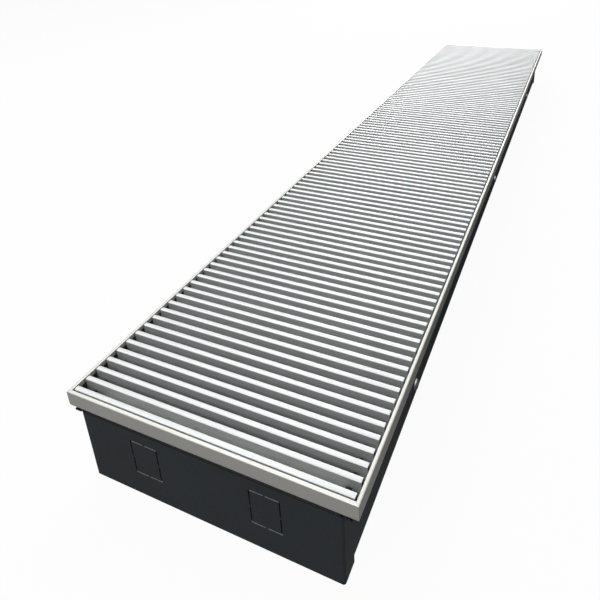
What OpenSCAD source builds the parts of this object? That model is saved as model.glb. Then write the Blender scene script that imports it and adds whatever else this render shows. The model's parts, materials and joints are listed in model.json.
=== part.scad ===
// Trench convector heater: a steel trough let into the floor, with a finned
// copper coil inside and a roll-up grille of aluminium bars in a mitred frame.
// X runs along the trough, Y across it and Z up. The origin is at the middle
// of the trough's underside.

/* [Overall] */
// Length over the aluminium frame
length = 1600; // [1200:50:2400]
// Width over the aluminium frame
width = 300; // [260:5:400]
// Height from the trough's underside to the top of the frame
height = 105; // [102:1:160]

/* [Trough] */
// Thickness of the trough's steel sheet
sheet_t = 1.5; // [1:0.1:2]
// Inside radius of every fold in the sheet
fold_r = 1; // [0.5:0.1:2]
// How far the frame stands out past the trough's long walls
frame_overhang = 15; // [14:0.5:22]
// How far the edge of the trough's outward flange stays behind the frame's face
flange_inset = 6; // [5:0.5:7]
// Length of the end plate's side flange, wrapped round the long wall
wrap_l = 21; // [15:1:40]
// Depth of the end plate's folded tab under the end frame
end_tab_l = 13; // [12.5:0.5:18]

/* [Knock-outs] */
// Width of a knock-out for a pipe
knockout_w = 31; // [24:1:36]
// Height of a knock-out
knockout_h = 42; // [30:1:46]
// Height of the knock-outs' and pipes' middle above the underside
pipe_z = 51; // [45:0.5:55]
// Distance of each pipe and knock-out from the trough's middle
pipe_y = 64; // [54:1:80]
// Width of the cut line round a knock-out
cut_w = 1.3; // [0.4:0.1:1.5]
// Width of the bridges that hold a knock-out
bridge_w = 2; // [1:0.1:3]

/* [Frame] */
// Height of the frame's aluminium section
frame_h = 19.5; // [17:0.5:23]
// Width of the frame's top lip
lip_w = 3.6; // [3.4:0.1:4.4]
// Radius of the rounded lower edge of the frame
lower_r = 4.5; // [4.2:0.1:6]
// Radius of the frame's top outer edge
top_r = 1.2; // [0.5:0.1:1.5]
// Width of the frame from its face to the inner end of its ledge
ledge_w = 18; // [17:0.5:24]
// Thickness of the frame's ledge
ledge_t = 1.5; // [1.5:0.1:2]
// Hairline left at each mitre
mitre_gap = 0.1; // [0.05:0.05:0.3]

/* [Grille] */
// Distance aimed at from one cross bar to the next
bar_spacing = 14.3; // [12:0.1:20]
// Width of a bar's top
bar_w = 5.5; // [5:0.5:7]
// Height of the rubber strip that carries the bars
strip_h = 2; // [2:0.1:3]
// Thickness of the rubber liner inside the frame's lip
liner_t = 0.9; // [0.5:0.1:1]
// Height of the liner above the frame's ledge
liner_h = 13; // [8:0.5:14]
// Gap between the frame's lip and the first bar
first_gap = 1.6; // [0.5:0.1:2]
// Free length between both bar ends and the frame
bar_end_play = 3.2; // [2.8:0.1:4]
// How far the loose grille lies towards one long side
grille_shift = 0.3; // [0:0.1:0.5]
// Radius of the crowned top of a bar
crown_r = 12; // [8:1:30]
// Radius of the long edges of a bar's top
bar_edge_r = 0.8; // [0.4:0.1:1]
// Wall of the hollow bar
bar_wall = 1.1; // [0.8:0.1:1.5]
// Diameter of the steel cable that strings the bars
cable_d = 2.3; // [2:0.1:3]
// Diameter of the spacers on the cable
spacer_d = 6; // [5.5:0.5:7]
// Distance of a cable from the frame's outer face
cable_inset = 16; // [14:0.5:22]

/* [Coil] */
// Length from the near end of the frame to the first fin, for the connections
connection_bay_l = 180; // [160:5:300]
// Length from the last fin to the far end of the frame
far_bay_l = 100; // [70:5:200]
// Distance between two fins
fin_pitch = 8; // [5:0.5:12]
// Thickness of a fin
fin_t = 0.5; // [0.3:0.1:1]
// Height of a fin
fin_h = 50; // [40:1:60]
// How far a fin stands out past the outer tubes' middle
fin_margin = 24; // [18:1:30]
// Outside diameter of a copper tube
tube_d = 15; // [12:1:18]
// Wall of a copper tube
tube_wall = 1; // [0.7:0.1:1.5]

/* [Brackets] */
// Distance of the outer brackets and their wall bolts from the frame's ends
bracket_inset = 220; // [205:5:400]
// Length of a bracket along the trough
bracket_l = 40; // [30:1:60]
// Thickness of a bracket's sheet
bracket_t = 2; // [1.5:0.1:3]
// Height of the brackets' wall tabs and side lips
bracket_h = 34; // [30:1:40]
// Height of the wall bolts above the underside
bolt_z = 18; // [15:0.5:20]
// Diameter of the wall bolts' flange
bolt_flange_d = 15; // [13:0.5:18]

/* [Levelling] */
// Diameter of a levelling screw
level_d = 8; // [6:1:10]
// Length of a levelling screw
level_l = 42; // [35:1:50]
// Distance of the floor anchor holes from the frame's ends
anchor_inset = 320; // [260:10:500]
// Diameter of a floor anchor hole
anchor_d = 9; // [7:0.5:10]

/* [Hidden] */
$fn = 48;
// a cutter passes this far through a surface
past = 1;
// running and slip clearance on a radius
slip = 0.05;
// clearance on a radius round a bolt or cable that passes a hole
loose = 0.25;
// clearance between plates that lie side by side
plate_gap = 0.1;

half_l = length / 2;
half_w = width / 2;
wall_y = half_w - frame_overhang;
inner_y = wall_y - sheet_t;
frame_z = height - frame_h;
flange_z = frame_z - sheet_t;
flange_w = frame_overhang - flange_inset;
// the end plate's outer face lies this far inside the frame's end face
end_inset = 0.3;
end_out = half_l - end_inset;
end_in = end_out - sheet_t;

// frame section: width of the rounded lower edge and radius of the lip's inner edge
lower_w = lip_w + 0.4;
lip_r = 0.5;
// chamber and angles that join the mitres
key_t = 1.2;
key_u = 1.1;
key_z = 4.2;
key_roof = 3.3;
key_h = frame_h - key_z - key_roof;
key_leg = 30;
key_gap = 0.15;
// groove in the ledge and the foot of the rubber strip in it
groove_d = 0.6;
strip_w = 2.6;
strip_edge_gap = 1.5;
strip_u = ledge_w - strip_w - strip_edge_gap;
strip_edge_r = 0.6;
strip_end_gap = 2;
liner_end_gap = 0.2;
// screws that hold the frame on the trough
screw_d = 4;
screw_head_d = 6.5;
screw_head_h = 1.6;
screw_l = 6;
recess_l = 3.6;
recess_w = 0.7;
recess_d = 0.9;
side_screw_inset = 9.6;
end_screw_inset = 9;
side_screw_end = 80;
side_screw_count = 5;
side_screw_pitch = (length - 2 * side_screw_end) / (side_screw_count - 1);
side_screw_xs = [for (i = [0:side_screw_count - 1]) -half_l + side_screw_end + i * side_screw_pitch];
end_screw_ys = [-width / 4, width / 4];

// grille
bar_h = frame_h - ledge_t - strip_h - plate_gap;
bar_l = width - 2 * lip_w - bar_end_play;
bar_cap_t = 1.6 * bar_wall;
first_bar = half_l - lip_w - first_gap - bar_w / 2;
bar_count = round(2 * first_bar / bar_spacing) + 1;
bar_pitch = 2 * first_bar / (bar_count - 1);
// the spacers' undersides lie just above the bars' undersides
cable_rise = spacer_d / 2 + plate_gap;
cable_z = height - bar_h + cable_rise;
cable_y = half_w - cable_inset;
spacer_l = bar_pitch - bar_w - plate_gap / 2;
ferrule_gap = 0.2;
cable_end_gap = 0.4;
ferrule_l = bar_w - 2 * (bar_wall + ferrule_gap);
ferrule_d = min(4.4, 2 * (cable_rise - bar_wall - plate_gap));

// coil
tube_pitch = 2 * pipe_y / 3;
tube_ys = [for (i = [0:3]) -pipe_y + i * tube_pitch];
fin_half = pipe_y + fin_margin;
fin_z0 = pipe_z - fin_h / 2;
fins_from = connection_bay_l - half_l;
fins_to = half_l - far_bay_l;
fin_count = floor((fins_to - fins_from) / fin_pitch) + 1;
last_fin = fins_from + (fin_count - 1) * fin_pitch;
coil_plate_t = 1.5;
coil_plate_rim = 8;
coil_plate_gap = 1;
tube_stub_near = 20;
tube_stub_far = 14;
tube_near = fins_from - tube_stub_near;
tube_far = fins_to + tube_stub_far;
cup_l = 8;
cup_wall = 0.8;

// unions and air vent; the port is a G 1/2 thread at its minor radius
union_l = 44;
union_hex = 27;
union_hex_l = 12;
union_d = 25;
union_head_l = 16;
union_wall = 2;
union_step = 1;
union_cup_d = tube_d + 2 * union_wall;
union_neck_d = union_cup_d + 2 * union_step;
union_rim = 4;
port_r = 9.3;
port_l = 14;
vent_setback = 10.5;
vent_x = tube_near - vent_setback;
vent_d = 12;
vent_spigot_d = 9;
vent_hex_h = 6;
vent_shoulder_z = pipe_z + union_neck_d / 2 + plate_gap;
vent_h = 20.4;
vent_seat_h = 9.4;
vent_top_z = vent_shoulder_z + vent_h;
vent_bore_d = 2.5;
vent_outlet_d = 2;
vent_screw_d = 6;
vent_screw_z = vent_shoulder_z + vent_seat_h;
vent_head_d = 10;
vent_head_h = 2.7;
slot_w = 1.2;
slot_d = 1.4;

// brackets, their pads and wall bolts
pad_h = 1.5;
pad_w = 12;
deck_z = fin_z0 - pad_h - bracket_t;
bracket_x = half_l - bracket_inset;
bracket_xs = [-bracket_x, 0, bracket_x];
tab_y = inner_y - plate_gap;
lip_gap = 0.6;
lip_y = fin_half + lip_gap;
window_margin = 8;
window_l = bracket_l - 2 * window_margin;
window_r = 6;
bolt_d = 6;
bolt_hex = 10;
bolt_flange_t = 1.6;
bolt_head_h = 5.5;
bolt_end_l = 4.4;
nut_h = 5;
bolt_l = sheet_t + plate_gap + bracket_t + nut_h + bolt_end_l;

// levelling nuts and screws, halfway between a bracket's side lip and its wall tab
level_y = (lip_y + tab_y) / 2;
anchor_x = half_l - anchor_inset;
level_nut_wall = 2.5;
level_nut_rim = 3;
level_nut_hex = level_d + 2 * level_nut_wall;
level_nut_flange_d = level_nut_hex + 2 * level_nut_rim;
level_nut_flange_t = 1.5;
level_nut_h = 7;
level_tip_z = 0.4;
level_slot_d = 2;

// ---- helpers ----

// extrudes a cross-section drawn in (Y, Z) along X, centred on x = 0
module along_x(l) {
  rotate([90, 0, 90])
    linear_extrude(l, center = true)
      children();
}

// extrudes a cross-section drawn in (X, Z) along Y, centred on y = 0
module along_y(l) {
  rotate([90, 0, 0])
    linear_extrude(l, center = true)
      children();
}

// the same thing at both long sides
module both_sides() {
  children();
  mirror([0, 1, 0])
    children();
}

// the same outline on both sides of a section
module both_sides_2d() {
  children();
  mirror([1, 0])
    children();
}

// the same thing at both ends
module both_ends() {
  children();
  mirror([1, 0, 0])
    children();
}

// a quarter of a folded sheet, in the quadrant [sx, sy] seen from its middle
module fold(r, t, sx, sy) {
  intersection() {
    difference() {
      circle(r + t);
      circle(r);
    }
    translate([sx < 0 ? -r - t : 0, sy < 0 ? -r - t : 0])
      square(r + t);
  }
}

// a pipe along X from x0 to x1
module pipe_x(x0, x1, r_out, r_in) {
  translate([x0, 0, 0])
    rotate([0, 90, 0])
      difference() {
        cylinder(h = x1 - x0, r = r_out);
        translate([0, 0, -past])
          cylinder(h = x1 - x0 + 2 * past, r = r_in);
      }
}

// ---- trough ----

// half of the trough's section: base, wall and outward flange
module trough_half_section() {
  bend = fold_r + sheet_t;
  square([wall_y - bend, sheet_t]);
  translate([wall_y - bend, bend])
    fold(fold_r, sheet_t, 1, -1);
  translate([inner_y, bend])
    square([sheet_t, flange_z - fold_r - bend]);
  translate([wall_y + fold_r, flange_z - fold_r])
    fold(fold_r, sheet_t, -1, 1);
  translate([wall_y + fold_r, flange_z])
    square([flange_w - fold_r, sheet_t]);
}

module trough() {
  relief = sheet_t + 2 * plate_gap;
  // relief cuts in the flange at two opposite corners: how far out and how wide
  cuts = [[relief, 2.5], [5.2, 1.6]];
  cut_l = 1.6;
  color("#22231f")
    difference() {
      along_x(2 * end_out)
        both_sides_2d()
          trough_half_section();
      // the ends make room for the end plates, and only the flanges run on
      both_ends()
        translate([end_in - plate_gap, -wall_y - relief, -past])
          cube([sheet_t + plate_gap + past, 2 * (wall_y + relief), height]);
      both_ends()
        both_sides()
          translate([end_in - plate_gap - fold_r, inner_y - fold_r, -past])
            cube([sheet_t + fold_r + past, sheet_t + fold_r + relief, height]);
      for (a = [0, 180])
        rotate(a)
          for (c = cuts)
            translate([end_out - cut_l, wall_y + c[0], flange_z - past])
              cube([cut_l + past, c[1], sheet_t + 2 * past]);
      // bolt holes in the walls
      for (x = bracket_xs)
        translate([x, 0, bolt_z])
          rotate([90, 0, 0])
            cylinder(h = width, d = bolt_d + 2 * loose, center = true);
      // holes for the levelling screws and for floor anchors
      both_ends()
        both_sides() {
          translate([bracket_x, level_y, -past])
            cylinder(h = sheet_t + 2 * past, d = level_d + 2 * loose);
          translate([anchor_x, level_y, -past])
            cylinder(h = sheet_t + 2 * past, d = anchor_d);
        }
      frame_screw_holes(screw_d / 2 + slip);
    }
}

// holes for every screw that holds the frame on the flanges and end tabs
module frame_screw_holes(r) {
  both_sides()
    for (x = side_screw_xs)
      translate([x, half_w - side_screw_inset, flange_z - past])
        cylinder(h = sheet_t + ledge_t + 2 * past, r = r);
  both_ends()
    for (y = end_screw_ys)
      translate([half_l - end_screw_inset, y, flange_z - past])
        cylinder(h = sheet_t + ledge_t + 2 * past, r = r);
}

// ---- end plates ----

// the laser-cut line round a knock-out, broken by one bridge in each side
module knockout_line() {
  difference() {
    square([knockout_w, knockout_h], center = true);
    square([knockout_w - 2 * cut_w, knockout_h - 2 * cut_w], center = true);
    square([bridge_w, knockout_h + past], center = true);
    square([knockout_w + past, bridge_w], center = true);
  }
}

// seen from above: the plate and the two side flanges round the long walls
module end_plate_plan() {
  wrap_y = wall_y + plate_gap;
  square([sheet_t, wrap_y - fold_r + plate_gap]);
  translate([sheet_t + fold_r, wrap_y - fold_r])
    fold(fold_r, sheet_t, -1, 1);
  translate([sheet_t + fold_r, wrap_y])
    square([wrap_l - sheet_t - fold_r, sheet_t]);
}

// the near end plate: its outer face looks along -X
module end_plate() {
  band_z = flange_z - fold_r - plate_gap;
  band_half = inner_y - plate_gap;
  difference() {
    union() {
      translate([-end_out, 0, 0])
        linear_extrude(band_z)
          both_sides()
            end_plate_plan();
      // at each corner the fold runs on up to the frame
      translate([-end_out, 0, 0])
        linear_extrude(frame_z - plate_gap)
          both_sides()
            intersection() {
              end_plate_plan();
              translate([0, band_half])
                square([sheet_t + fold_r, wall_y]);
            }
      // the top of the plate, folded inwards as a tab under the end frame
      translate([-end_out, 0, 0])
        along_y(2 * band_half)
          union() {
            translate([0, band_z])
              square([sheet_t, flange_z - fold_r - band_z]);
            translate([sheet_t + fold_r, flange_z - fold_r])
              fold(fold_r, sheet_t, -1, 1);
            translate([sheet_t + fold_r, flange_z])
              square([end_tab_l - sheet_t - fold_r, sheet_t]);
          }
    }
    for (y = [-pipe_y, pipe_y])
      translate([-end_out + sheet_t / 2, y, pipe_z])
        along_x(sheet_t + past)
          knockout_line();
    frame_screw_holes(screw_d / 2 + slip);
  }
}

module end_plate_near() {
  color("#2d3033")
    end_plate();
}

module end_plate_far() {
  color("#2d3033")
    mirror([1, 0, 0])
      end_plate();
}

// ---- frame ----

// the frame's section: u runs inwards from the outer face, the other axis up
module frame_section() {
  lower_h = sqrt(lower_r * lower_r - pow(lower_r - lower_w, 2));
  difference() {
    union() {
      // rounded lower edge
      translate([lower_r, lower_h])
        intersection() {
          circle(lower_r);
          translate([-lower_r, -lower_h])
            square([lower_w, lower_h]);
        }
      // wall and lip with rounded top edges
      translate([0, lower_h])
        square([lip_w, frame_h - top_r - lower_h]);
      translate([top_r, frame_h - 2 * top_r])
        square([lip_w - top_r - lip_r, 2 * top_r]);
      translate([top_r, frame_h - top_r])
        circle(top_r);
      translate([top_r, frame_h - top_r - lip_r])
        square([lip_w - top_r, top_r]);
      translate([lip_w - lip_r, frame_h - lip_r])
        circle(lip_r);
      // ledge
      translate([lower_w - past, 0])
        square([ledge_w - lower_w + past, ledge_t]);
    }
    // above the ledge the section is only as wide as the lip
    translate([lip_w, ledge_t])
      square([ledge_w, frame_h]);
    // the chamber for the corner keys
    translate([key_u - key_gap, key_z - key_gap])
      square([key_t + 2 * key_gap, key_h + 2 * key_gap]);
    // the groove that holds the rubber strip
    translate([strip_u, ledge_t - groove_d])
      square([strip_w + 2 * plate_gap, groove_d + past]);
  }
}

// footprint of the right-hand long side, cut at 45 degrees at both corners
module side_footprint() {
  d = ledge_w + past;
  polygon([
    [-half_l + mitre_gap, -half_w], [half_l - mitre_gap, -half_w],
    [half_l - mitre_gap - d, -half_w + d], [-half_l + mitre_gap + d, -half_w + d]
  ]);
}

// footprint of the near end, cut at 45 degrees at both corners
module end_footprint() {
  d = ledge_w + past;
  polygon([
    [-half_l, -half_w + mitre_gap], [-half_l, half_w - mitre_gap],
    [-half_l + d, half_w - mitre_gap - d], [-half_l + d, -half_w + mitre_gap + d]
  ]);
}

module frame_side() {
  difference() {
    intersection() {
      translate([0, -half_w, frame_z])
        along_x(length + past)
          frame_section();
      translate([0, 0, frame_z - past])
        linear_extrude(frame_h + 2 * past)
          side_footprint();
    }
    frame_screw_holes(screw_d / 2 + loose);
  }
}

module frame_end() {
  difference() {
    intersection() {
      translate([-half_l, 0, frame_z])
        along_y(width + past)
          frame_section();
      translate([0, 0, frame_z - past])
        linear_extrude(frame_h + 2 * past)
          end_footprint();
    }
    frame_screw_holes(screw_d / 2 + loose);
  }
}

module frame_side_right() {
  color("#b9b9b4")
    frame_side();
}

module frame_side_left() {
  color("#b9b9b4")
    mirror([0, 1, 0])
      frame_side();
}

module frame_end_near() {
  color("#b9b9b4")
    frame_end();
}

module frame_end_far() {
  color("#b9b9b4")
    mirror([1, 0, 0])
      frame_end();
}

// bent steel angles that join the mitres from inside the frame's chambers
module corner_keys() {
  color("#8d9092")
    both_ends()
      both_sides()
        translate([-half_l + key_u, -half_w + key_u, frame_z + key_z])
          linear_extrude(key_h)
            union() {
              square([key_leg, key_t]);
              square([key_t, key_leg]);
            }
}

// low-headed screws that hold the frame on the trough
module frame_screw() {
  translate([0, 0, frame_z + ledge_t])
    difference() {
      union() {
        cylinder(h = screw_head_h, d = screw_head_d);
        translate([0, 0, -screw_l])
          cylinder(h = screw_l, d = screw_d);
      }
      // cross recess
      for (a = [0, 90])
        rotate(a)
          translate([-recess_l / 2, -recess_w / 2, screw_head_h - recess_d])
            cube([recess_l, recess_w, recess_d + past]);
    }
}

module frame_screws() {
  color("#3a3b3c") {
    both_sides()
      for (x = side_screw_xs)
        translate([x, half_w - side_screw_inset, 0])
          frame_screw();
    both_ends()
      for (y = end_screw_ys)
        translate([half_l - end_screw_inset, y, 0])
          frame_screw();
  }
}

// the rubber strip that the bars rest on: a foot in the groove and a round-edged top
module damping_strip() {
  foot_h = groove_d - plate_gap;
  full_h = foot_h + strip_h;
  translate([0, -half_w + strip_u + plate_gap, frame_z + ledge_t - foot_h])
    along_x(length - 2 * (ledge_w + strip_end_gap))
      union() {
        square([strip_w, full_h - strip_edge_r]);
        translate([strip_edge_r, 0])
          square([strip_w - 2 * strip_edge_r, full_h]);
        for (u = [strip_edge_r, strip_w - strip_edge_r])
          translate([u, full_h - strip_edge_r])
            circle(strip_edge_r);
      }
}

module damping_strip_right() {
  color("#161616")
    damping_strip();
}

module damping_strip_left() {
  color("#161616")
    mirror([0, 1, 0])
      damping_strip();
}

// the rubber liner stuck to the inner face of a long side's lip, beside the bars' ends
module lip_liner() {
  translate([0, -half_w + lip_w + plate_gap, frame_z + ledge_t])
    along_x(length - 2 * (lip_w + liner_end_gap))
      square([liner_t, liner_h]);
}

module lip_liner_right() {
  color("#161616")
    lip_liner();
}

module lip_liner_left() {
  color("#161616")
    mirror([0, 1, 0])
      lip_liner();
}

// ---- grille ----

function bar_x(i) = -first_bar + i * bar_pitch;

// a bar's hollow section with its crowned top, in (X, Z)
module bar_section() {
  edge_x = bar_w / 2 - bar_edge_r;
  edge_z = bar_h - crown_r + sqrt(pow(crown_r - bar_edge_r, 2) - edge_x * edge_x);
  crown_end = edge_x * crown_r / (crown_r - bar_edge_r);
  difference() {
    union() {
      // the crown, up to where it meets the rounded edges
      intersection() {
        translate([-crown_end, 0])
          square([2 * crown_end, bar_h]);
        translate([0, bar_h - crown_r])
          circle(crown_r, $fn = 96);
      }
      for (u = [-edge_x, edge_x])
        translate([u, edge_z])
          circle(bar_edge_r);
      translate([-bar_w / 2, 0])
        square([bar_w, edge_z]);
    }
    translate([-bar_w / 2 + bar_wall, bar_wall])
      square([bar_w - 2 * bar_wall, bar_h - bar_wall - bar_cap_t]);
  }
}

// one bar with the cable holes; an end bar keeps its outer wall closed
module grille_bar(i) {
  shift = i == 0 ? bar_wall : i == bar_count - 1 ? -bar_wall : 0;
  difference() {
    translate([bar_x(i), grille_shift, height - bar_h])
      along_y(bar_l)
        bar_section();
    both_sides()
      translate([bar_x(i) + 2 * shift, cable_y, cable_z])
        rotate([0, 90, 0])
          cylinder(h = bar_w + 2 * abs(shift), d = cable_d + 2 * loose, center = true);
  }
}

module grille_bars() {
  color("#c9cac8")
    for (i = [0:bar_count - 1])
      grille_bar(i);
}

// plastic sleeves that keep the bars apart
module grille_spacers() {
  color("#1b1b1b")
    both_sides()
      for (i = [0:bar_count - 2])
        translate([(bar_x(i) + bar_x(i + 1)) / 2 - spacer_l / 2, cable_y, cable_z])
          pipe_x(0, spacer_l, spacer_d / 2, cable_d / 2 + loose);
}

// the cables end in crimped ferrules inside the first and the last bar
module grille_cables() {
  l = 2 * first_bar + ferrule_l - 2 * cable_end_gap;
  color("#9a9c9e")
    both_sides()
      translate([-l / 2, cable_y, cable_z])
        rotate([0, 90, 0])
          cylinder(h = l, d = cable_d);
}

module cable_ferrules() {
  color("#8a8c8e")
    both_sides()
      for (x = [-first_bar, first_bar])
        translate([x - ferrule_l / 2, cable_y, cable_z])
          pipe_x(0, ferrule_l, ferrule_d / 2, cable_d / 2 + slip);
}

// ---- coil ----

// holes for the four tubes, seen along X
module tube_holes(r) {
  for (y = tube_ys)
    translate([y, pipe_z])
      circle(r);
}

module fins() {
  color("#aeb2b5")
    for (i = [0:fin_count - 1])
      translate([fins_from + i * fin_pitch, 0, 0])
        along_x(fin_t)
          difference() {
            translate([-fin_half, fin_z0])
              square([2 * fin_half, fin_h]);
            tube_holes(tube_d / 2 + slip);
          }
}

module coil_tubes() {
  color("#b56a43")
    for (y = tube_ys)
      translate([0, y, pipe_z])
        pipe_x(tube_near, tube_far, tube_d / 2, tube_d / 2 - tube_wall);
}

// a return bend with cups that slip over two tube ends; it opens along -X
module return_bend() {
  rotate([0, 0, -90])
    rotate_extrude(angle = 180)
      translate([tube_pitch / 2, 0])
        difference() {
          circle(d = tube_d);
          circle(d = tube_d - 2 * tube_wall);
        }
  for (y = [-tube_pitch / 2, tube_pitch / 2])
    translate([0, y, 0]) {
      pipe_x(-plate_gap - cup_l, 0, tube_d / 2 + cup_wall, tube_d / 2 + slip);
      pipe_x(-plate_gap, 0, tube_d / 2 + cup_wall, tube_d / 2 - tube_wall);
    }
}

module return_bends() {
  color("#b56a43") {
    for (y = [-tube_pitch, tube_pitch])
      translate([tube_far + plate_gap, y, pipe_z])
        return_bend();
    translate([tube_near - plate_gap, 0, pipe_z])
      mirror([1, 0, 0])
        return_bend();
  }
}

// a coil end plate: a channel that opens outwards, on the far side of x = 0
module coil_end_plate() {
  difference() {
    translate([coil_plate_t, 0, 0])
      along_y(2 * fin_half)
        union() {
          translate([-coil_plate_t, fin_z0])
            square([coil_plate_t, fin_h]);
          for (z = [fin_z0, fin_z0 + fin_h - coil_plate_t])
            translate([-coil_plate_t, z])
              square([coil_plate_rim, coil_plate_t]);
        }
    along_x(4 * coil_plate_t)
      tube_holes(tube_d / 2 + slip);
  }
}

module coil_end_plate_near() {
  color("#9a9da0")
    translate([fins_from - coil_plate_gap, 0, 0])
      mirror([1, 0, 0])
        coil_end_plate();
}

module coil_end_plate_far() {
  color("#9a9da0")
    translate([last_fin + coil_plate_gap, 0, 0])
      coil_end_plate();
}

// ---- connections ----

// a brass union: a cup on the copper tube, a hexagon and a female thread towards -X
module pipe_union() {
  mouth = tube_near + cup_l - union_l;
  cup_from = union_l - cup_l;
  translate([mouth, 0, 0])
    rotate([0, 90, 0])
      difference() {
        union() {
          cylinder(h = union_head_l, d = union_d);
          translate([0, 0, union_rim])
            cylinder(h = union_hex_l, d = union_hex / cos(30), $fn = 6);
          translate([0, 0, union_head_l - past])
            cylinder(h = cup_from - union_head_l + past, d = union_neck_d);
          translate([0, 0, cup_from - past])
            cylinder(h = cup_l + past, d = union_cup_d);
        }
        translate([0, 0, -past])
          cylinder(h = port_l + past, r = port_r);
        cylinder(h = union_l, d = tube_d - 2 * tube_wall);
        translate([0, 0, cup_from - plate_gap])
          cylinder(h = cup_l + past, r = tube_d / 2 + slip);
      }
}

module return_union() {
  color("#b9975a")
    translate([0, -pipe_y, pipe_z])
      pipe_union();
}

// the flow side also carries the air vent
module flow_union() {
  color("#b9975a")
    difference() {
      translate([0, pipe_y, pipe_z])
        pipe_union();
      translate([vent_x, pipe_y, pipe_z])
        cylinder(h = union_d, d = vent_spigot_d + 2 * slip);
    }
}

// the vent's body, screwed into the union, with a seat for its screw
module vent_body() {
  spigot_z = pipe_z + tube_d / 2;
  color("#c0a062")
    translate([vent_x, pipe_y, 0])
      difference() {
        union() {
          translate([0, 0, spigot_z])
            cylinder(h = vent_shoulder_z - spigot_z + past, d = vent_spigot_d);
          translate([0, 0, vent_shoulder_z])
            cylinder(h = vent_hex_h, d = vent_d / cos(30), $fn = 6);
          translate([0, 0, vent_shoulder_z + past])
            cylinder(h = vent_top_z - vent_shoulder_z - past, d = vent_d);
        }
        translate([0, 0, vent_screw_z - plate_gap])
          cylinder(h = vent_top_z, d = vent_screw_d + 2 * slip);
        translate([0, 0, spigot_z - past])
          cylinder(h = vent_top_z, d = vent_bore_d);
        // side outlet above the screw's tip
        translate([0, 0, vent_screw_z + vent_outlet_d])
          rotate([0, -90, 0])
            cylinder(h = vent_d, d = vent_outlet_d);
      }
}

module vent_screw() {
  head_z = vent_top_z + plate_gap;
  top_z = head_z + vent_head_h;
  color("#d0b070")
    translate([vent_x, pipe_y, 0])
      difference() {
        union() {
          translate([0, 0, vent_screw_z])
            cylinder(h = top_z - vent_screw_z, d = vent_screw_d);
          translate([0, 0, head_z])
            cylinder(h = vent_head_h, d = vent_head_d);
        }
        translate([-vent_d, -slot_w / 2, top_z - slot_d])
          cube([2 * vent_d, slot_w, slot_d + past]);
      }
}

// ---- brackets ----

// section of a bracket across the trough: wall tabs, feet, side lips and deck
module bracket_section() {
  bend = fold_r + bracket_t;
  both_sides_2d() {
    translate([tab_y - bracket_t, sheet_t + bend])
      square([bracket_t, bracket_h - sheet_t - bend]);
    translate([tab_y - bend, sheet_t + bend])
      fold(fold_r, bracket_t, 1, -1);
    translate([lip_y, sheet_t])
      square([tab_y - bend - lip_y, bracket_t]);
    translate([lip_y, sheet_t])
      square([bracket_t, bracket_h - sheet_t]);
  }
  translate([-lip_y - past, deck_z])
    square([2 * (lip_y + past), bracket_t]);
}

// a round-ended window in the deck, which keeps the air path open
module deck_window() {
  straight = (window_l - 2 * window_r) / 2;
  square([2 * straight, 2 * window_r], center = true);
  for (s = [-straight, straight])
    translate([s, 0])
      circle(window_r);
}

// levelled is true on the brackets that also take the levelling screws
module bracket(x, levelled) {
  color("#9a9da0")
    difference() {
      translate([x, 0, 0])
        along_x(bracket_l)
          bracket_section();
      for (y = tube_ys)
        translate([x, y, deck_z - past])
          linear_extrude(bracket_t + 2 * past)
            deck_window();
      // bolt holes through the wall tabs
      both_sides()
        translate([x, tab_y + past, bolt_z])
          rotate([90, 0, 0])
            cylinder(h = bracket_t + 2 * past, d = bolt_d + 2 * loose);
      if (levelled)
        both_sides()
          translate([x, level_y, 0])
            cylinder(h = sheet_t + bracket_t + past, d = level_d + 2 * loose);
    }
}

module bracket_near() {
  bracket(-bracket_x, true);
}

module bracket_middle() {
  bracket(0, false);
}

module bracket_far() {
  bracket(bracket_x, true);
}

// rubber pads between the brackets' decks and the fins
module coil_pads() {
  color("#1a1a1a")
    for (x = bracket_xs)
      for (y = [-1, 1])
        translate([x - bracket_l / 2, y * (fin_half - pad_w / 2) - pad_w / 2, deck_z + bracket_t])
          cube([bracket_l, pad_w, pad_h]);
}

// flanged hexagon bolts from outside the long walls
module wall_bolts() {
  color("#d4d6d8")
    both_sides()
      for (x = bracket_xs)
        translate([x, wall_y, bolt_z])
          rotate([-90, 0, 0]) {
            cylinder(h = bolt_flange_t, d = bolt_flange_d);
            cylinder(h = bolt_head_h, d = bolt_hex / cos(30), $fn = 6);
            translate([0, 0, -bolt_l])
              cylinder(h = bolt_l + past, d = bolt_d);
          }
}

module wall_nuts() {
  color("#b8bbbe")
    both_sides()
      for (x = bracket_xs)
        translate([x, tab_y - bracket_t - nut_h, bolt_z])
          rotate([-90, 0, 0])
            difference() {
              cylinder(h = nut_h, d = bolt_hex / cos(30), $fn = 6);
              translate([0, 0, -past])
                cylinder(h = nut_h + 2 * past, d = bolt_d + 2 * slip);
            }
}

// ---- levelling ----

module levelling_nuts() {
  color("#b8bbbe")
    both_ends()
      both_sides()
        translate([bracket_x, level_y, sheet_t + bracket_t])
          difference() {
            union() {
              cylinder(h = level_nut_flange_t, d = level_nut_flange_d);
              cylinder(h = level_nut_h, d = level_nut_hex / cos(30), $fn = 6);
            }
            translate([0, 0, -past])
              cylinder(h = level_nut_h + 2 * past, d = level_d + 2 * slip);
          }
}

// a levelling screw with a screwdriver slot, turned down from inside the trough
module levelling_screw(x, y) {
  color("#c4c6c8")
    translate([x, y, level_tip_z])
      difference() {
        cylinder(h = level_l, d = level_d);
        translate([-level_d, -slot_w / 2, level_l - level_slot_d])
          cube([2 * level_d, slot_w, level_slot_d + past]);
      }
}

module levelling_screw_near_left() {
  levelling_screw(-bracket_x, level_y);
}

module levelling_screw_near_right() {
  levelling_screw(-bracket_x, -level_y);
}

module levelling_screw_far_left() {
  levelling_screw(bracket_x, level_y);
}

module levelling_screw_far_right() {
  levelling_screw(bracket_x, -level_y);
}

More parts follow.
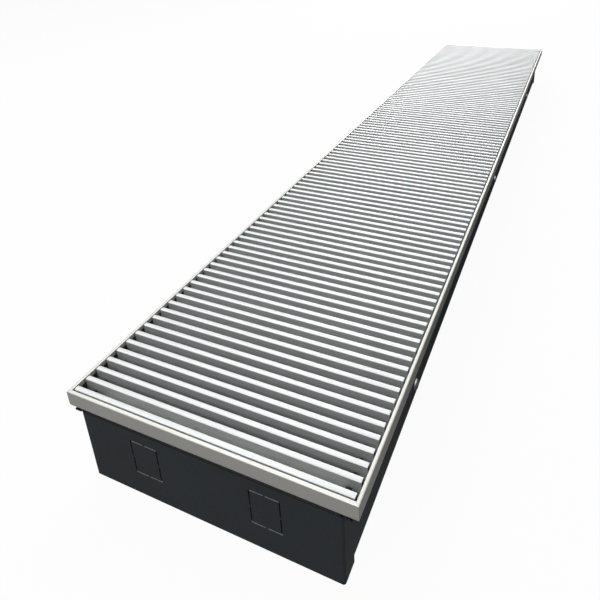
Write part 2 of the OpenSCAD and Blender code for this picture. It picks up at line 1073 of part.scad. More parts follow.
trough();
end_plate_near();
end_plate_far();
frame_side_left();
frame_side_right();
frame_end_near();
frame_end_far();
corner_keys();
frame_screws();
damping_strip_left();
damping_strip_right();
lip_liner_left();
lip_liner_right();
grille_bars();
grille_spacers();
grille_cables();
cable_ferrules();
fins();
coil_tubes();
return_bends();
coil_end_plate_near();
coil_end_plate_far();
flow_union();
return_union();
vent_body();
vent_screw();
bracket_near();
bracket_middle();
bracket_far();
coil_pads();
wall_bolts();
wall_nuts();
levelling_nuts();
levelling_screw_near_left();
levelling_screw_near_right();
levelling_screw_far_left();
levelling_screw_far_right();
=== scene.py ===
import json
import math

import bmesh
import bpy
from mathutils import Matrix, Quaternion, Vector


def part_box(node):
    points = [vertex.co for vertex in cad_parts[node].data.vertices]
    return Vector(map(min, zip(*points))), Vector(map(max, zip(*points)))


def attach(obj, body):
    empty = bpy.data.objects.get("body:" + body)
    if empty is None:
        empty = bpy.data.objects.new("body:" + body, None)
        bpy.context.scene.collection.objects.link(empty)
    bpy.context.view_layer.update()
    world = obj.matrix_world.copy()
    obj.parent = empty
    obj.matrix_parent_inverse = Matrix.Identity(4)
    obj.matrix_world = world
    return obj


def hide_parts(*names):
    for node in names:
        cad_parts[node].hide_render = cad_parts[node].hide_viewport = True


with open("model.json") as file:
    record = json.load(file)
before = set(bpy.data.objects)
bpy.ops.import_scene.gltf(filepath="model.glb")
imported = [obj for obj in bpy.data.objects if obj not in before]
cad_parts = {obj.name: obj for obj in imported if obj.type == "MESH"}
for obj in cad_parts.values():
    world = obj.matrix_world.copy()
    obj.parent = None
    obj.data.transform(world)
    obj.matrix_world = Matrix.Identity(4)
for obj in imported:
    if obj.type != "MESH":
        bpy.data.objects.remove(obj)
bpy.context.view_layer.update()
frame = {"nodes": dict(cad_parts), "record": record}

# A trench convector heater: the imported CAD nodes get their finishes, and the nodes whose real
# shapes are finer than the CAD's are replaced by meshes that node recipes make.

MM = 0.001
QUARTER_TURN = math.radians(90)

# ---------------------------------------------------------------- sizes, in mm
# the roll-up grille: hollow bars across the trough, kept apart by sleeves on two cables
BAR_COUNT = 112
BAR_PITCH = 14.27117
BAR_WIDTH = 5.5
BAR_HEIGHT = 15.9
BAR_LENGTH = 289.6
BAR_SIDE_PLAY = 0.3
BAR_CROWN_RADIUS = 12.0
BAR_WALL = 1.1
BAR_EDGE = 0.8
FIRST_BAR = -792.05
SLEEVE_LENGTH = 8.721
CABLE_Y = 134.0
CABLE_HEIGHT = 92.2
# the finned coil
FIN_COUNT = 166
FIN_PITCH = 8.0
FIN_FROM = -620.0
FIN_SHEET = 0.5
FIN_WAVES = 8
FIN_WAVE_DEPTH = 0.9
PIPE_HEIGHT = 51.0
OUTER_TUBE_Y = 64.0
INNER_TUBE_Y = 21.333
UNION_MOUTH = -676.0
NEAR_CUPS_END = -632.0
FAR_CUPS_END = 706.0
# fasteners
BRACKET_X = 580.0
WALL_Y = 135.0
WALL_BOLT_HEIGHT = 18.0
NUT_INNER_Y = 126.4
LEVEL_Y = 111.0
LEVEL_NUT_SEAT = 3.5
STUD_RADIUS = 4.0
STUD_THREAD_PITCH = 1.25
STUD_THREAD_DEPTH = 0.65
STUD_SLOT_WIDTH = 1.2
STUD_SLOT_DEPTH = 2.0
# two vertices closer than this become one
WELD = 0.005
# where the bare walls of the knock-outs' level cuts are, the painted shade in the groove above
# the end plates' folded top, and the painted shadow on the floor that the trough stands over:
# axis, centre, distance from the centre to either side, and how far round that distance
LEVEL_CUTS = (
    ("X", 0.0, 798.95, 0.7), ("Y", 0.0, OUTER_TUBE_Y, 16.0), ("Z", PIPE_HEIGHT, 20.35, 0.8))
FOLD_PAINTED_SHADE = (("X", 0.0, 798.6, 1.6), ("Z", 0.0, 84.9, 1.1))
FLOOR_PAINTED_SHADOW = (("X", 0.0, 0.0, 785.0), ("Y", 0.0, 0.0, 125.0))

# ---------------------------------------------------------------- studio
# name, place, target, width and depth in m, and power in W
LAMPS = (
    ("overhead softbox", (0.3, 1.0, 2.2), (0, 0.1, 0), 3.0, 1.8, 25),
    ("front softbox", (-4.2, 1.1, 3.8), (-0.2, 0, 0), 2.8, 2.0, 100),
    ("far softbox", (3.0, 0.7, 1.3), (0.4, 0, 0.1), 1.6, 1.0, 26),
    ("side fill", (0.2, -3.0, 1.5), (0, 0, 0), 2.4, 1.4, 9),
)
FLOOR_HALF = 9.0
FLOOR_DROP = 0.0003
FLOOR_SHOWN = 0.955
FLOOR_TONE = 0.05
WORLD_FILL = 0.07
# what metal mirrors: the floor's grey from the near end on, and the world's from low to high
FLOOR_MIRRORED = {"low": -0.95, "high": -0.45, "to_low": 0.33, "to_high": 0.0}
WORLD_MIRRORED = {"low": 0.05, "high": 0.5, "to_low": 0.55, "to_high": 1.0}
# the camera, fitted to the corners, edges and knock-outs in the photo
EYE = (-1.07138, -0.25716, 0.51898)
GAZE = (0.83345, 0.38903, -0.39244)
ROLL = math.radians(-2.2266)
SENSOR_WIDTH = 36
FOCAL_LENGTH = 34.177
LENS_SHIFT = (-0.03667, -0.2405)


# ---------------------------------------------------------------- small helpers
def linear(hex_colour):
    """An sRGB hex colour as the linear colour that the shaders take."""
    parts = [int(hex_colour[i:i + 2], 16) / 255 for i in (1, 3, 5)]
    shares = [c / 12.92 if c <= 0.04045 else ((c + 0.055) / 1.055) ** 2.4 for c in parts]
    return (*shares, 1.0)


def at(x, y, z):
    """A place or size given in mm, in metres."""
    return (x * MM, y * MM, z * MM)


def add(tree, kind, sockets=None, **settings):
    """Adds a node to a tree: settings are its own choices, sockets its values and links."""
    node = tree.nodes.new(kind)
    for name, value in settings.items():
        setattr(node, name, value)
    for key, value in (sockets or {}).items():
        if isinstance(value, bpy.types.NodeSocket):
            tree.links.new(value, node.inputs[key])
        else:
            node.inputs[key].default_value = value
    return node


def maths(tree, operation, *values):
    """The result of one operation on values or links."""
    sockets = dict(enumerate(values))
    return add(tree, "ShaderNodeMath", sockets, operation=operation).outputs["Value"]


def vector(tree, **axes):
    """A vector with these values or links as its X, Y and Z."""
    return add(tree, "ShaderNodeCombineXYZ", axes).outputs["Vector"]


def axes_of(tree, place):
    """The X, Y and Z of a vector."""
    return add(tree, "ShaderNodeSeparateXYZ", {"Vector": place}).outputs


def span(tree, value, low=0.0, high=1.0, to_low=0.0, to_high=1.0):
    """A value between two limits as the same share between two others."""
    return add(tree, "ShaderNodeMapRange", {
        "Value": value, "From Min": low, "From Max": high,
        "To Min": to_low, "To Max": to_high}).outputs["Result"]


def joined(tree, *shapes):
    """Several shapes as one."""
    group = add(tree, "GeometryNodeJoinGeometry")
    for shape in shapes:
        tree.links.new(shape, group.inputs[0])
    return group.outputs["Geometry"]


def within(tree, where, limits):
    """1 where all the limits hold and 0 elsewhere. A limit is an axis, a centre, and a distance
    from that centre, to either side, with its reach."""
    inside = 1.0
    for axis, centre, distance, reach in limits:
        offset = maths(tree, "ABSOLUTE", maths(tree, "SUBTRACT", where[axis], centre * MM))
        near = maths(tree, "COMPARE", offset, distance * MM, reach * MM)
        inside = maths(tree, "MULTIPLY", near, inside)
    return inside


# ---------------------------------------------------------------- materials
def grains(size_mm):
    """The scale of a noise on metre coordinates whose grains are this many mm across."""
    return 1000 / size_mm


def new_finish(name, metallic, specular=0.5):
    """A material named for what it is, with its node tree, shader and object coordinates."""
    finish = bpy.data.materials.new(name)
    finish.use_nodes = True
    tree = finish.node_tree
    tree.nodes.clear()
    shader = add(tree, "ShaderNodeBsdfPrincipled", {
        "Metallic": metallic, "Specular IOR Level": specular})
    add(tree, "ShaderNodeOutputMaterial", {"Surface": shader.outputs["BSDF"]})
    place = add(tree, "ShaderNodeTexCoord").outputs["Object"]
    return finish, tree, shader, place


def grain(tree, place, size_mm, stretch=None, detail=3.0):
    """A noise with grains of this size, drawn out along one axis where stretch is given."""
    if stretch:
        place = add(tree, "ShaderNodeMapping", {
            "Vector": place, "Scale": stretch}).outputs["Vector"]
    return add(tree, "ShaderNodeTexNoise", {
        "Vector": place, "Scale": grains(size_mm), "Detail": detail}).outputs["Fac"]


def dress(tree, shader, slow, tones, fine, gloss, relief_mm, strength=0.25):
    """Colour between two tones by the slow pattern, roughness and relief by the fine one."""
    tone = add(tree, "ShaderNodeMix", {
        "Factor": slow, "A": linear(tones[0]), "B": linear(tones[1])}, data_type="RGBA")
    tree.links.new(tone.outputs["Result"], shader.inputs["Base Color"])
    tree.links.new(span(tree, fine, 0.3, 0.7, *gloss), shader.inputs["Roughness"])
    relief = add(tree, "ShaderNodeBump", {
        "Height": fine, "Strength": strength, "Distance": relief_mm * MM})
    tree.links.new(relief.outputs["Normal"], shader.inputs["Normal"])


def powder_coat():
    """Anthracite polyester powder, sprayed and baked on sheet steel: a very dark blue-grey with
    a fine orange-peel skin, matt, with a barely cloudy tone where the film is thicker."""
    finish, tree, shader, place = new_finish("anthracite powder coat", 0.0, 0.22)
    # the real skin has grains of about 0.3 mm; they are drawn at 1.2 mm so that they show
    dress(tree, shader, grain(tree, place, 90), ("#34383c", "#3f4448"),
          grain(tree, place, 1.2, detail=2.0), gloss=(0.52, 0.68), relief_mm=0.08, strength=0.35)
    # the knock-out lines are cut after coating: the walls of their level cuts are bare grey
    # steel, which catches the light, and the upright cuts are drawn in and stay dark;
    # the groove between each end plate's folded top and the frame gets near-black painted shade
    where = axes_of(tree, place)
    skin = shader.inputs["Base Color"].links[0].from_socket
    for limits, hex_colour in ((LEVEL_CUTS, "#a8aaac"), (FOLD_PAINTED_SHADE, "#0c0c0d")):
        skin = add(tree, "ShaderNodeMix", {
            "Factor": within(tree, where, limits), "A": skin, "B": linear(hex_colour)},
            data_type="RGBA").outputs["Result"]
    tree.links.new(skin, shader.inputs["Base Color"])
    return finish


def anodised(name, hex_light, hex_dark, along, tone_attribute=None):
    """Natural anodised aluminium, extruded and etched: a soft, pale silver with faint die lines
    that run along the length, a little rougher in some lines than in others."""
    finish, tree, shader, place = new_finish(name, 0.6)
    # the die lines are about 0.1 mm apart; they are drawn at 0.7 mm so that they show
    lines = grain(tree, place, 0.7, {"X": (0.01, 1, 1), "Y": (1, 0.01, 1)}[along])
    level = maths(tree, "MULTIPLY", lines, grain(tree, place, 60))
    if tone_attribute:
        own = add(tree, "ShaderNodeAttribute", attribute_name=tone_attribute)
        level = maths(tree, "ADD", level, own.outputs["Fac"])
    dress(tree, shader, level, (hex_light, hex_dark), lines,
          gloss=(0.38, 0.52), relief_mm=0.02, strength=0.2)
    return finish


def galvanised():
    """Hot-dip galvanised sheet: grey zinc crystals some 8 mm across, each with its own
    brightness and its own dullness."""
    finish, tree, shader, place = new_finish("galvanised sheet", 0.9)
    crystals = add(tree, "ShaderNodeTexVoronoi", {
        "Vector": place, "Scale": grains(8)}, feature="F1")
    own = add(tree, "ShaderNodeSeparateColor", {"Color": crystals.outputs["Color"]}).outputs
    dress(tree, shader, own["Red"], ("#86898d", "#b4b7ba"), own["Green"],
          gloss=(0.32, 0.55), relief_mm=0.02, strength=0.15)
    return finish


def bright_zinc():
    """Electroplated zinc with a blue passivation: bright and smooth, cool with straw-coloured
    patches, and fine handling marks."""
    finish, tree, shader, place = new_finish("blue-passivated zinc plate", 1.0)
    dress(tree, shader, grain(tree, place, 5), ("#c3ccd4", "#d9d6c9"),
          grain(tree, place, 0.8, detail=4.0), gloss=(0.2, 0.36), relief_mm=0.01, strength=0.15)
    return finish


def black_zinc():
    """Black passivated zinc on small screws: near black with a dull metal sheen."""
    finish, tree, shader, place = new_finish("black passivated zinc", 0.7)
    dress(tree, shader, grain(tree, place, 1.5), ("#232426", "#3a3b3d"),
          grain(tree, place, 0.6), gloss=(0.34, 0.5), relief_mm=0.01)
    return finish


def rubber():
    """Extruded black rubber: matt, nearly black, with a faint grey bloom and soft draw lines."""
    finish, tree, shader, place = new_finish("extruded black rubber", 0.0, 0.3)
    lines = grain(tree, place, 0.8, (0.03, 1, 1))
    dress(tree, shader, lines, ("#161616", "#272726"), lines, gloss=(0.74, 0.88), relief_mm=0.03)
    return finish


def black_nylon():
    """Moulded black nylon: dark grey-black, satin, with a very fine spark-eroded grain."""
    finish, tree, shader, place = new_finish("moulded black nylon", 0.0, 0.45)
    dress(tree, shader, grain(tree, place, 6), ("#171718", "#222223"),
          grain(tree, place, 0.5), gloss=(0.42, 0.6), relief_mm=0.02)
    return finish


def stranded_steel():
    """Stranded stainless cable: bright wires that wind round at a short pitch, painted shade
    between them.
    """
    finish, tree, shader, place = new_finish("stranded stainless cable", 1.0)
    # a wave has 20 / 2 pi bands per unit of its scale
    bands_per_scale = 3.18
    strands_and_groove_shade = add(tree, "ShaderNodeTexWave", {
        "Vector": place, "Scale": grains(1.2) / bands_per_scale},
        wave_type="BANDS", bands_direction="DIAGONAL").outputs["Fac"]
    # the darker of the two tones, between the wires, is painted shade in the grooves
    dress(tree, shader, strands_and_groove_shade, ("#4a4c4e", "#c2c5c7"), strands_and_groove_shade,
          gloss=(0.45, 0.25), relief_mm=0.1, strength=0.4)
    return finish


def fin_sheet():
    """Mill-finish aluminium foil for fins: pale grey, rolled along its length, slightly dusty."""
    finish, tree, shader, place = new_finish("mill-finish aluminium fin sheet", 0.85)
    dress(tree, shader, grain(tree, place, 35), ("#a2a5a8", "#c0c2c4"),
          grain(tree, place, 1.5, (1, 0.05, 1)), gloss=(0.34, 0.55), relief_mm=0.02)
    return finish


def drawn_copper():
    """Drawn copper tube after brazing: warm red-brown metal with duller, darker clouds."""
    finish, tree, shader, place = new_finish("drawn copper tube", 1.0)
    clouds = span(tree, grain(tree, place, 18, detail=5.0), 0.35, 0.7)
    dress(tree, shader, clouds, ("#cf8a63", "#8a5238"),
          grain(tree, place, 0.7, (0.05, 1, 1)), gloss=(0.26, 0.46), relief_mm=0.02)
    return finish


def turned_brass():
    """Turned brass fittings: yellow metal with fine tool rings and a light tarnish."""
    finish, tree, shader, place = new_finish("turned brass", 1.0)
    dress(tree, shader, grain(tree, place, 9, detail=4.0), ("#d2b06c", "#a3814a"),
          grain(tree, place, 0.5, (1, 0.05, 0.05)), gloss=(0.22, 0.36), relief_mm=0.02)
    return finish


def silver_braze():
    """Silver brazing alloy that has flowed into a joint: pale yellow-grey, wavy and stained."""
    finish, tree, shader, place = new_finish("silver braze alloy", 1.0)
    dress(tree, shader, grain(tree, place, 2), ("#c9bd9c", "#8f7f62"),
          grain(tree, place, 0.9), gloss=(0.28, 0.5), relief_mm=0.06, strength=0.5)
    return finish


FRAME_TONES = ("#dbdad6", "#c9c8c3")
FRAME_LENGTHWISE = anodised("anodised aluminium, drawn lengthwise", *FRAME_TONES, "X")
FRAME_CROSSWISE = anodised("anodised aluminium, drawn crosswise", *FRAME_TONES, "Y")
BAR_FINISH = anodised("anodised aluminium bars", "#dadcdc", "#c5c8c8", "Y", "bar_tone")
BRAZE = silver_braze()
FINISH = {
    "casing_steel": powder_coat(),
    "frame_aluminium": FRAME_LENGTHWISE,
    "bar_aluminium": BAR_FINISH,
    "zinc_steel": galvanised(),
    "bright_zinc": bright_zinc(),
    "black_screw": black_zinc(),
    "rubber": rubber(),
    "spacer_plastic": black_nylon(),
    "cable_steel": stranded_steel(),
    "fin_aluminium": fin_sheet(),
    "copper": drawn_copper(),
    "brass": turned_brass(),
}

for part in frame["record"]["subparts"]:
    crosswise = part["node"] in ("frame_end_near", "frame_end_far")
    for holder in frame["nodes"][part["node"]].material_slots:
        holder.material = FRAME_CROSSWISE if crosswise else FINISH[part["material_slot"]]


# ---------------------------------------------------------------- node recipes
def new_recipe(name, sizes):
    """A geometry node tree with named inputs; sizes lists (label, kind, default)."""
    tree = bpy.data.node_groups.new(name, "GeometryNodeTree")
    tree.interface.new_socket("Geometry", in_out="INPUT", socket_type="NodeSocketGeometry")
    for label, kind, default in sizes:
        socket = tree.interface.new_socket(
            label, in_out="INPUT", socket_type="NodeSocket" + kind)
        if default is not None:
            socket.default_value = default
    tree.interface.new_socket("Finish", in_out="INPUT", socket_type="NodeSocketMaterial")
    tree.interface.new_socket("Geometry", in_out="OUTPUT", socket_type="NodeSocketGeometry")
    given = add(tree, "NodeGroupInput").outputs
    return tree, given


def end_recipe(tree, given, shape):
    """Every recipe ends with real meshes, its material and the output."""
    real = add(tree, "GeometryNodeRealizeInstances", {"Geometry": shape})
    dressed = add(tree, "GeometryNodeSetMaterial", {
        "Geometry": real.outputs["Geometry"], "Material": given["Finish"]})
    add(tree, "NodeGroupOutput", {"Geometry": dressed.outputs["Geometry"]})


def cook(name, tree, sizes, body, slot, replaced=(), shape=None, finish=None):
    """Runs a recipe on a shape, or on nothing, and keeps the result as a plain mesh piece."""
    piece = bpy.data.objects.new(name, shape or bpy.data.meshes.new(name))
    bpy.context.scene.collection.objects.link(piece)
    modifier = piece.modifiers.new(tree.name, "NODES")
    modifier.node_group = tree
    inputs = {s.name: s.identifier for s in tree.interface.items_tree if s.in_out == "INPUT"}
    for label, value in {**sizes, "Finish": finish or FINISH[slot]}.items():
        modifier[inputs[label]] = value
    bpy.context.view_layer.update()
    graph = bpy.context.evaluated_depsgraph_get()
    plain = bpy.data.meshes.new_from_object(piece.evaluated_get(graph), depsgraph=graph)
    piece.modifiers.remove(modifier)
    piece.data = plain
    plain.name = name
    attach(piece, body)
    if replaced:
        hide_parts(*replaced)
    return piece


def thickened(tree, face, depth):
    """Node chain: pulls a face, or a waved sheet, up by a depth into a closed solid."""
    raised = add(tree, "GeometryNodeExtrudeMesh", {
        "Mesh": face, "Offset": vector(tree, Z=depth), "Offset Scale": 1.0,
        "Individual": False}, mode="FACES")
    under = add(tree, "GeometryNodeFlipFaces", {"Mesh": face})
    both = joined(tree, raised.outputs["Mesh"], under.outputs["Mesh"])
    return add(tree, "GeometryNodeMergeByDistance", {
        "Geometry": both, "Distance": WELD * MM}).outputs["Geometry"]


def in_a_row(tree, shape, count, start, step, turn=None):
    """Node chain: copies of a shape at even steps along X, each turned by the same angles."""
    line = add(tree, "GeometryNodeMeshLine", {
        "Count": count, "Start Location": start, "Offset": vector(tree, X=step)}, mode="OFFSET")
    sockets = {"Points": line.outputs["Mesh"], "Instance": shape}
    if turn is not None:
        sockets["Rotation"] = turn
    return add(tree, "GeometryNodeInstanceOnPoints", sockets).outputs["Instances"]


def bar_recipe():
    """A row of hollow bars with a crowned top and eased edges, each with its own slight tone."""
    tree, given = new_recipe("row of hollow bars", [
        ("Count", "Int", 3), ("Pitch", "Float", 0.01), ("First", "Float", 0.0),
        ("Length", "Float", 0.1), ("Width", "Float", 0.006), ("Height", "Float", 0.014),
        ("Crown radius", "Float", 0.012), ("Wall", "Float", 0.001), ("Edge", "Float", 0.0003),
        ("Top", "Float", 0.1), ("Side play", "Float", 0.0), ("Seed", "Int", 5)])
    outline = add(tree, "GeometryNodeCurvePrimitiveQuadrilateral", {
        "Width": given["Width"], "Height": given["Height"]}, mode="RECTANGLE")
    # the first side of the rectangle is its top: it gets more points, for the crown
    number = add(tree, "GeometryNodeInputIndex").outputs["Index"]
    top_side = add(tree, "FunctionNodeCompare", {2: number, 3: 0},
                   data_type="INT", operation="EQUAL").outputs["Result"]
    finer = add(tree, "GeometryNodeSubdivideCurve", {
        "Curve": outline.outputs["Curve"], "Cuts": maths(tree, "MULTIPLY", top_side, 3.0)})
    where = axes_of(tree, add(tree, "GeometryNodeInputPosition").outputs["Position"])
    # the crown sags by the square of the distance from the middle over twice its radius
    square = maths(tree, "MULTIPLY", where["X"], where["X"])
    sag = maths(tree, "DIVIDE", square, maths(tree, "MULTIPLY", given["Crown radius"], -2.0))
    upper = maths(tree, "GREATER_THAN", where["Y"], 0.0)
    crowned = add(tree, "GeometryNodeSetPosition", {
        "Geometry": finer.outputs["Curve"],
        "Offset": vector(tree, Y=maths(tree, "MULTIPLY", sag, upper))})
    # only the four corners are eased, the lower ones with a third of the upper ones' radius
    reach = maths(tree, "ABSOLUTE", where["X"])
    corner = maths(tree, "GREATER_THAN", reach, maths(tree, "MULTIPLY", given["Width"], 0.49))
    largest = maths(tree, "MULTIPLY", corner, given["Edge"])
    share = span(tree, upper, to_low=0.33)
    eased = add(tree, "GeometryNodeFilletCurve", {
        "Curve": crowned.outputs["Geometry"], "Count": 3,
        "Radius": maths(tree, "MULTIPLY", largest, share)}, mode="POLY")
    # the hollow leaves a thicker top
    hollow = add(tree, "GeometryNodeCurvePrimitiveQuadrilateral", {
        "Width": maths(tree, "MULTIPLY_ADD", given["Wall"], -2.0, given["Width"]),
        "Height": maths(tree, "MULTIPLY_ADD", given["Wall"], -2.6, given["Height"])},
        mode="RECTANGLE")
    sunk = add(tree, "GeometryNodeTransform", {
        "Geometry": hollow.outputs["Curve"],
        "Translation": vector(tree, Y=maths(tree, "MULTIPLY", given["Wall"], -0.3))})
    section = joined(tree, eased.outputs["Curve"], sunk.outputs["Geometry"])
    face = add(tree, "GeometryNodeFillCurve", {"Curve": section}, mode="TRIANGLES")
    half_length = maths(tree, "MULTIPLY_ADD", given["Length"], 0.5, given["Side play"])
    middle = maths(tree, "MULTIPLY_ADD", given["Height"], -0.5, given["Top"])
    standing = add(tree, "GeometryNodeTransform", {
        "Geometry": thickened(tree, face.outputs["Mesh"], given["Length"]),
        "Rotation": (QUARTER_TURN, 0, 0), "Translation": vector(tree, Y=half_length, Z=middle)})
    placed = in_a_row(tree, standing.outputs["Geometry"], given["Count"],
                      vector(tree, X=given["First"]), given["Pitch"])
    tone = add(tree, "FunctionNodeRandomValue", {
        2: -0.1, 3: 0.1, "Seed": given["Seed"]}, data_type="FLOAT")
    toned = add(tree, "GeometryNodeStoreNamedAttribute", {
        "Geometry": placed, "Name": "bar_tone", "Value": tone.outputs[1]},
        data_type="FLOAT", domain="INSTANCE")
    end_recipe(tree, given, toned.outputs["Geometry"])
    return tree


def fin_recipe():
    """A block of thin corrugated fins, folded from one sheet each, edge on to the trough."""
    tree, given = new_recipe("block of corrugated fins", [
        ("Count", "Int", 3), ("Pitch", "Float", 0.008), ("First", "Float", 0.0),
        ("Width", "Float", 0.17), ("Height", "Float", 0.05), ("Middle", "Float", 0.05),
        ("Sheet", "Float", 0.0005), ("Waves", "Int", 8), ("Wave depth", "Float", 0.001)])
    sheet = add(tree, "GeometryNodeMeshGrid", {
        "Size X": given["Width"], "Size Y": given["Height"],
        "Vertices X": maths(tree, "MULTIPLY_ADD", given["Waves"], 2.0, 1.0), "Vertices Y": 2})
    # a grid counts its vertices along Y first, so every second pair is a wave's crest
    number = add(tree, "GeometryNodeInputIndex").outputs["Index"]
    column = maths(tree, "FLOOR", maths(tree, "DIVIDE", number, 2.0))
    crest = maths(tree, "MODULO", column, 2.0)
    waved = add(tree, "GeometryNodeSetPosition", {
        "Geometry": sheet.outputs["Mesh"],
        "Offset": vector(tree, Z=maths(tree, "MULTIPLY", crest, given["Wave depth"]))})
    # the sheet's X runs across the trough, its Y upwards and its normal along the trough
    standing = add(tree, "GeometryNodeTransform", {
        "Geometry": thickened(tree, waved.outputs["Geometry"], given["Sheet"]),
        "Rotation": (QUARTER_TURN, 0, QUARTER_TURN),
        "Translation": vector(tree, Z=given["Middle"])})
    placed = in_a_row(tree, standing.outputs["Geometry"], given["Count"],
                      vector(tree, X=given["First"]), given["Pitch"])
    end_recipe(tree, given, placed)
    return tree


def rows_recipe():
    """The given shape in two rows that mirror each other across the trough, each copy turned a
    little about its own axis, as fasteners are when they are tight."""
    tree, given = new_recipe("rows on both long sides", [
        ("Count", "Int", 2), ("Start", "Vector", None), ("Step", "Float", 0.1),
        ("Left turn", "Vector", None), ("Right turn", "Vector", None),
        ("Loose turn", "Float", 0.0), ("Seed", "Int", 3)])
    start = axes_of(tree, given["Start"])
    opposite = vector(tree, X=start["X"], Y=maths(tree, "MULTIPLY", start["Y"], -1.0),
                      Z=start["Z"])
    rows = joined(tree, *[
        in_a_row(tree, given["Geometry"], given["Count"], first, given["Step"], given[turn])
        for first, turn in ((given["Start"], "Left turn"), (opposite, "Right turn"))])
    spin = add(tree, "FunctionNodeRandomValue", {
        2: maths(tree, "MULTIPLY", given["Loose turn"], -1.0), 3: given["Loose turn"],
        "Seed": given["Seed"]}, data_type="FLOAT")
    turned_about = add(tree, "GeometryNodeRotateInstances", {
        "Instances": rows, "Rotation": vector(tree, Z=spin.outputs[1]), "Local Space": True})
    end_recipe(tree, given, turned_about.outputs["Instances"])
    return tree


def stud_recipe():
    """A threaded stud that stands on its chamfered tip, with a screwdriver slot in its top."""
    tree, given = new_recipe("slotted threaded stud", [
        ("Length", "Float", 0.04), ("Major radius", "Float", 0.004),
        ("Thread depth", "Float", 0.0006), ("Pitch", "Float", 0.00125),
        ("Slot width", "Float", 0.0012), ("Slot depth", "Float", 0.002),
        ("Foot", "Vector", None)])
    # four rings of vertices to each turn of the thread
    rings = maths(tree, "MULTIPLY", maths(tree, "DIVIDE", given["Length"], given["Pitch"]), 4.0)
    rod = add(tree, "GeometryNodeMeshCylinder", {
        "Vertices": 20, "Side Segments": rings, "Fill Segments": 1,
        "Radius": given["Major radius"], "Depth": given["Length"]}, fill_type="NGON")
    where = axes_of(tree, add(tree, "GeometryNodeInputPosition").outputs["Position"])
    # the thread goes in by how far each point is from the next crest of the winding
    lead = maths(tree, "DIVIDE", maths(tree, "ARCTAN2", where["Y"], where["X"]), 2 * math.pi)
    turns = maths(tree, "DIVIDE", where["Z"], given["Pitch"])
    flank = maths(tree, "PINGPONG", maths(tree, "SUBTRACT", turns, lead), 0.5)
    depth = maths(tree, "MULTIPLY", maths(tree, "MULTIPLY", flank, 2.0), given["Thread depth"])
    # both ends are chamfered down to the thread's root
    half = maths(tree, "MULTIPLY", given["Length"], 0.5)
    from_end = maths(tree, "SUBTRACT", half, maths(tree, "ABSOLUTE", where["Z"]))
    chamfer = maths(tree, "SUBTRACT", given["Thread depth"], from_end)
    deeper = maths(tree, "MAXIMUM", depth, chamfer)
    inward = maths(tree, "SUBTRACT", 1.0, maths(tree, "DIVIDE", deeper, given["Major radius"]))
    threaded = add(tree, "GeometryNodeSetPosition", {
        "Geometry": rod.outputs["Mesh"],
        "Position": vector(tree, X=maths(tree, "MULTIPLY", where["X"], inward),
                           Y=maths(tree, "MULTIPLY", where["Y"], inward), Z=where["Z"])})
    # the slot is cut by a blade wider than the stud, half sunk in its top
    blade = add(tree, "GeometryNodeMeshCube", {
        "Size": vector(tree, X=maths(tree, "MULTIPLY", given["Major radius"], 4.0),
                       Y=given["Slot width"],
                       Z=maths(tree, "MULTIPLY", given["Slot depth"], 2.0))})
    at_top = add(tree, "GeometryNodeTransform", {
        "Geometry": blade.outputs["Mesh"], "Translation": vector(tree, Z=half)})
    slotted = add(tree, "GeometryNodeMeshBoolean", {
        "Mesh 1": threaded.outputs["Geometry"]}, operation="DIFFERENCE", solver="EXACT")
    tree.links.new(at_top.outputs["Geometry"], slotted.inputs["Mesh 2"])
    middle = add(tree, "ShaderNodeVectorMath", {
        0: vector(tree, Z=half), 1: given["Foot"]}, operation="ADD")
    stood = add(tree, "GeometryNodeTransform", {
        "Geometry": slotted.outputs["Mesh"], "Translation": middle.outputs["Vector"]})
    end_recipe(tree, given, stood.outputs["Geometry"])
    return tree


def turned(name, outline, sides):
    """A mesh turned about Z. The outline is a list of (radius, height) in mm, from the axis to
    the axis for a solid, or round in a ring. A third value makes that ring a hexagon with the
    first as half its width across flats: 1 for a ring whose corners are lowered by a chamfer,
    -1 for raised ones and 0 for a flat ring."""
    chamfer_slope = math.tan(math.radians(30))
    sixth = math.pi / 3
    mesh = bmesh.new()
    rings = []
    for point in outline:
        radius, height = point[:2]
        if radius == 0:
            rings.append([mesh.verts.new(at(0, 0, height))])
            continue
        ring = []
        for i in range(sides):
            a = 2 * math.pi * i / sides
            r, z = radius, height
            if len(point) == 3:
                r = radius / math.cos((a + sixth / 2) % sixth - sixth / 2)
                z = height - point[2] * (r - radius) * chamfer_slope
            ring.append(mesh.verts.new(at(r * math.cos(a), r * math.sin(a), z)))
        rings.append(ring)
    solid = len(rings[0]) == 1
    for lower, upper in zip(rings, rings[1:] if solid else rings[1:] + rings[:1]):
        for i in range(sides):
            j = (i + 1) % sides
            if len(lower) == 1:
                mesh.faces.new((lower[0], upper[j], upper[i]))
            elif len(upper) == 1:
                mesh.faces.new((lower[i], lower[j], upper[0]))
            else:
                mesh.faces.new((lower[i], lower[j], upper[j], upper[i]))
    bmesh.ops.recalc_face_normals(mesh, faces=mesh.faces)
    made = bpy.data.meshes.new(name)
    mesh.to_mesh(made)
    mesh.free()
    return made


BARS = bar_recipe()
FINS = fin_recipe()
ROWS = rows_recipe()
STUD = stud_recipe()
# how a row's shapes, turned about Z, are laid: along the trough, or with their heads outwards
ALONG = {"Left turn": (0, QUARTER_TURN, 0), "Right turn": (0, QUARTER_TURN, 0)}
BACK_ALONG = {"Left turn": (0, -QUARTER_TURN, 0), "Right turn": (0, -QUARTER_TURN, 0)}
OUTWARDS = {"Left turn": (-QUARTER_TURN, 0, 0), "Right turn": (QUARTER_TURN, 0, 0)}

